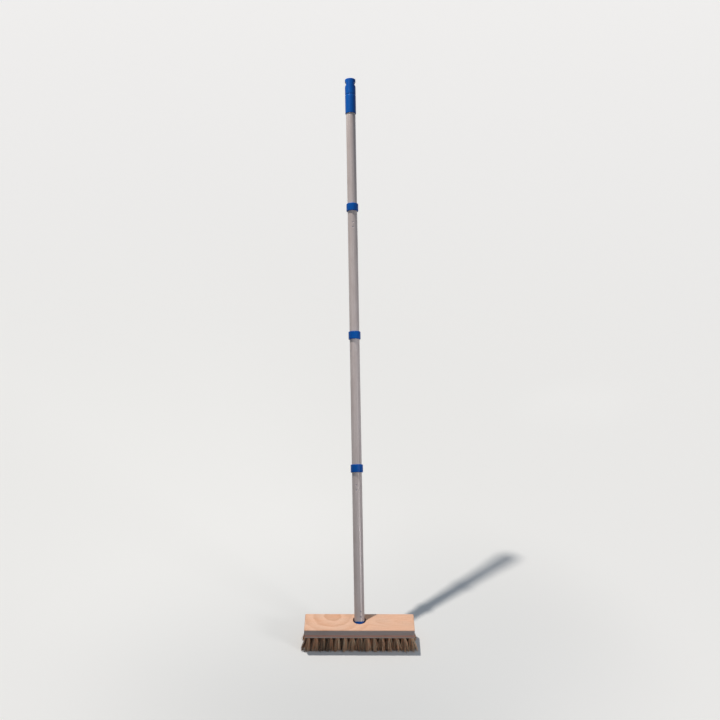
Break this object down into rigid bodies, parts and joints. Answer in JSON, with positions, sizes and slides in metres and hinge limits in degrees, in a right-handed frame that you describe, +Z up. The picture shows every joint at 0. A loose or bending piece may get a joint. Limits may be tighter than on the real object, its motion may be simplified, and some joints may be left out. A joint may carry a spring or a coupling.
{
  "type": "scrub brush",
  "caption": "Long-handled scrub brush: wooden block with stapled natural fibre tufts and a leaning, screwed sectional metal pole with plastic couplers and a hanging cap.",
  "frame": {"origin": "on the floor, at the middle of the tips of the middle tuft in the front row", "axes": "+Z up, +X to the right along the block, -Y towards the front of the brush; the pole leans back towards +Y"},
  "size_m": [0.2636, 0.7032, 1.2237],
  "materials": {
    "block_wood": "planed, bare",
    "fibre": "coarse natural fibre",
    "staple_wire": "drawn flat wire",
    "pole_metal": "satin",
    "blue_plastic": "moulded"
  },
  "bodies": {
    "head": {"head_block": "block_wood", "tuft_row_1": "fibre", "tuft_row_2": "fibre", "tuft_row_3": "fibre", "tuft_row_4": "fibre", "staple_row_1": "staple_wire", "staple_row_2": "staple_wire", "staple_row_3": "staple_wire", "staple_row_4": "staple_wire"},
    "lower_section": {"lower_tube": "pole_metal", "lower_threaded_tip": "blue_plastic", "lower_coupler": "blue_plastic"},
    "lower_mid_section": {"lower_mid_tube": "pole_metal", "lower_mid_threaded_tip": "blue_plastic", "lower_mid_coupler": "blue_plastic"},
    "upper_mid_section": {"upper_mid_tube": "pole_metal", "upper_mid_threaded_tip": "blue_plastic", "upper_mid_coupler": "blue_plastic"},
    "top_section": {"top_tube": "pole_metal", "top_threaded_tip": "blue_plastic", "hanging_cap": "blue_plastic"}
  },
  "joints": [
    {"name": "top_unscrew", "type": "hinge", "parent": "top_section", "child": "upper_mid_section", "pos_m": [-0.0198, 0.52364, 0.92675], "axis": [0.0198, -0.4848, -0.8744], "range_deg": [0, 1080]},
    {"name": "upper_mid_unscrew", "type": "hinge", "parent": "upper_mid_section", "child": "lower_mid_section", "pos_m": [-0.01341, 0.36753, 0.64519], "axis": [0.0198, -0.4848, -0.8744], "range_deg": [0, 1080]},
    {"name": "lower_mid_unscrew", "type": "hinge", "parent": "lower_mid_section", "child": "lower_section", "pos_m": [-0.00702, 0.21142, 0.36364], "axis": [0.0198, -0.4848, -0.8744], "range_deg": [0, 1080]},
    {"name": "lower_unscrew", "type": "hinge", "parent": "lower_section", "child": "head", "pos_m": [0.0002, 0.03495, 0.04536], "axis": [0.0198, -0.4848, -0.8744], "range_deg": [0, 1080]}
  ]
}
